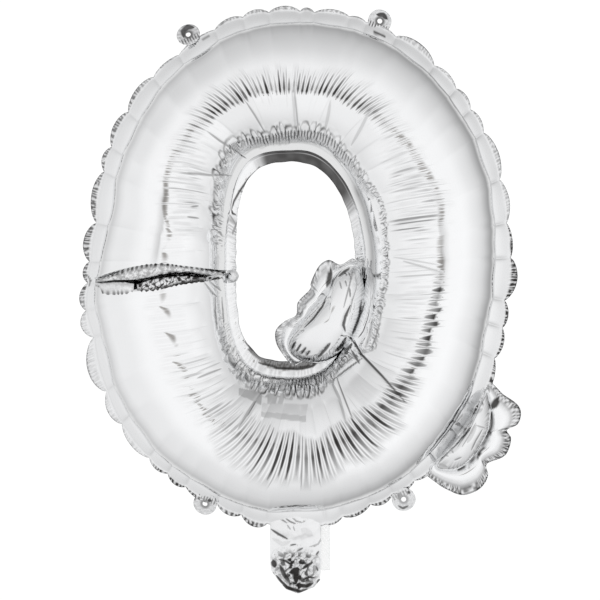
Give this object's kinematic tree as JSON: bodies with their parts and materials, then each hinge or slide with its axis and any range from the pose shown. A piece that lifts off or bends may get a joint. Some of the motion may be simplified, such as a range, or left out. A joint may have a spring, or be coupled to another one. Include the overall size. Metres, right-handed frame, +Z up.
{
  "type": "letter foil balloon",
  "caption": "Air-filled foil balloon in the shape of the letter Q: a split tube ring with a pillow tail, puffed weld margins, round hanging tabs and a flat filling neck.",
  "frame": {"origin": "midway between the two upper hanging holes, in the plane of the welds", "axes": "+Z up the letter, +X to the right of someone reading it from the front, -Y out of the letter's front"},
  "size_m": [0.3007, 0.0812, 0.3997],
  "materials": {
    "panel_film": "mirror-bright metallised film",
    "margin_film": "bright metallised film, crinkled",
    "neck_film": "bright metallised film, crumpled",
    "valve_film": "clear gloss film"
  },
  "bodies": {
    "root": {"ring_front_panel": "panel_film", "ring_back_panel": "panel_film", "outer_seam_margin": "margin_film", "inner_seam_margin": "margin_film", "split_weld_web": "margin_film", "hang_tab_top_left": "margin_film", "hang_tab_top_right": "margin_film", "hang_tab_bottom_left": "margin_film", "hang_tab_bottom_right": "margin_film", "tail_inner_front_panel": "panel_film", "tail_inner_back_panel": "panel_film", "tail_inner_margin": "margin_film", "tail_outer_front_panel": "panel_film", "tail_outer_back_panel": "panel_film", "tail_outer_margin": "margin_film", "neck_front_ply": "neck_film", "neck_back_ply": "neck_film", "neck_valve_film": "valve_film"}
  },
  "joints": []
}
